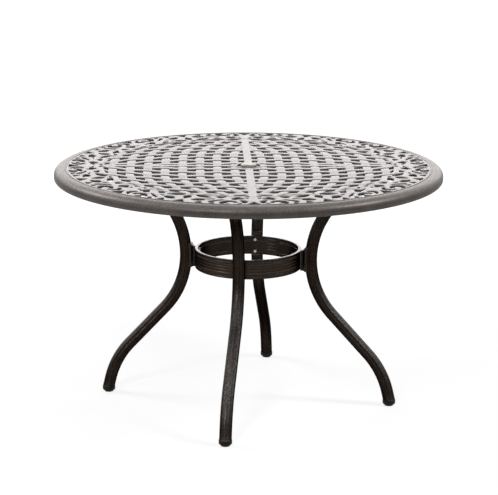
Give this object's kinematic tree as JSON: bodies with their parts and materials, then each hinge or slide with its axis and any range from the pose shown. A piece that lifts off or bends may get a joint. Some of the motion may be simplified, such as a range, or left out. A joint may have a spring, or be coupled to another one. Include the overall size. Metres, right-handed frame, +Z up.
{
  "type": "umbrella table",
  "caption": "Round cast-metal garden table with a woven openwork top, a plugged centre hole for a parasol pole, bowed legs tied by a ring, and levelling feet.",
  "frame": {"origin": "on the floor, under the centre of the round top", "axes": "+Z up, legs on the X and Y axes, front of the table towards -Y"},
  "size_m": [1.2, 1.2, 0.7604],
  "materials": {
    "bronze_top": "bronze powder coat, satin, on a cast surface",
    "bronze_frame": "dark bronze powder coat, semi-gloss",
    "zinc": "bright zinc plated",
    "black_plastic": "moulded, satin"
  },
  "bodies": {
    "table": {"cast_rim": "bronze_top", "cast_top": "bronze_top", "stretcher_ring": "bronze_frame", "leg_right": "bronze_frame", "leg_flange_right": "bronze_frame", "ring_bracket_right": "bronze_frame", "foot_cap_right": "black_plastic", "flange_washer_right_a": "zinc", "flange_bolt_right_a": "zinc", "ring_bolt_right_a": "zinc", "flange_washer_right_b": "zinc", "flange_bolt_right_b": "zinc", "ring_bolt_right_b": "zinc", "leg_back": "bronze_frame", "leg_flange_back": "bronze_frame", "ring_bracket_back": "bronze_frame", "foot_cap_back": "black_plastic", "flange_washer_back_a": "zinc", "flange_bolt_back_a": "zinc", "ring_bolt_back_a": "zinc", "flange_washer_back_b": "zinc", "flange_bolt_back_b": "zinc", "ring_bolt_back_b": "zinc", "leg_left": "bronze_frame", "leg_flange_left": "bronze_frame", "ring_bracket_left": "bronze_frame", "foot_cap_left": "black_plastic", "flange_washer_left_a": "zinc", "flange_bolt_left_a": "zinc", "ring_bolt_left_a": "zinc", "flange_washer_left_b": "zinc", "flange_bolt_left_b": "zinc", "ring_bolt_left_b": "zinc", "leg_front": "bronze_frame", "leg_flange_front": "bronze_frame", "ring_bracket_front": "bronze_frame", "foot_cap_front": "black_plastic", "flange_washer_front_a": "zinc", "flange_bolt_front_a": "zinc", "ring_bolt_front_a": "zinc", "flange_washer_front_b": "zinc", "flange_bolt_front_b": "zinc", "ring_bolt_front_b": "zinc"},
    "plug": {"parasol_plug": "bronze_top"},
    "glide_right": {"levelling_glide_right": "black_plastic"},
    "glide_back": {"levelling_glide_back": "black_plastic"},
    "glide_left": {"levelling_glide_left": "black_plastic"},
    "glide_front": {"levelling_glide_front": "black_plastic"}
  },
  "joints": [
    {"name": "plug_lift_out", "type": "slide", "parent": "table", "child": "plug", "axis": [0, 0, 1], "range_m": [0, 0.03]},
    {"name": "glide_right_screw_out", "type": "slide", "parent": "table", "child": "glide_right", "axis": [0, 0, -1], "range_m": [0, 0.008]},
    {"name": "glide_back_screw_out", "type": "slide", "parent": "table", "child": "glide_back", "axis": [0, 0, -1], "range_m": [0, 0.008]},
    {"name": "glide_left_screw_out", "type": "slide", "parent": "table", "child": "glide_left", "axis": [0, 0, -1], "range_m": [0, 0.008]},
    {"name": "glide_front_screw_out", "type": "slide", "parent": "table", "child": "glide_front", "axis": [0, 0, -1], "range_m": [0, 0.008]}
  ]
}
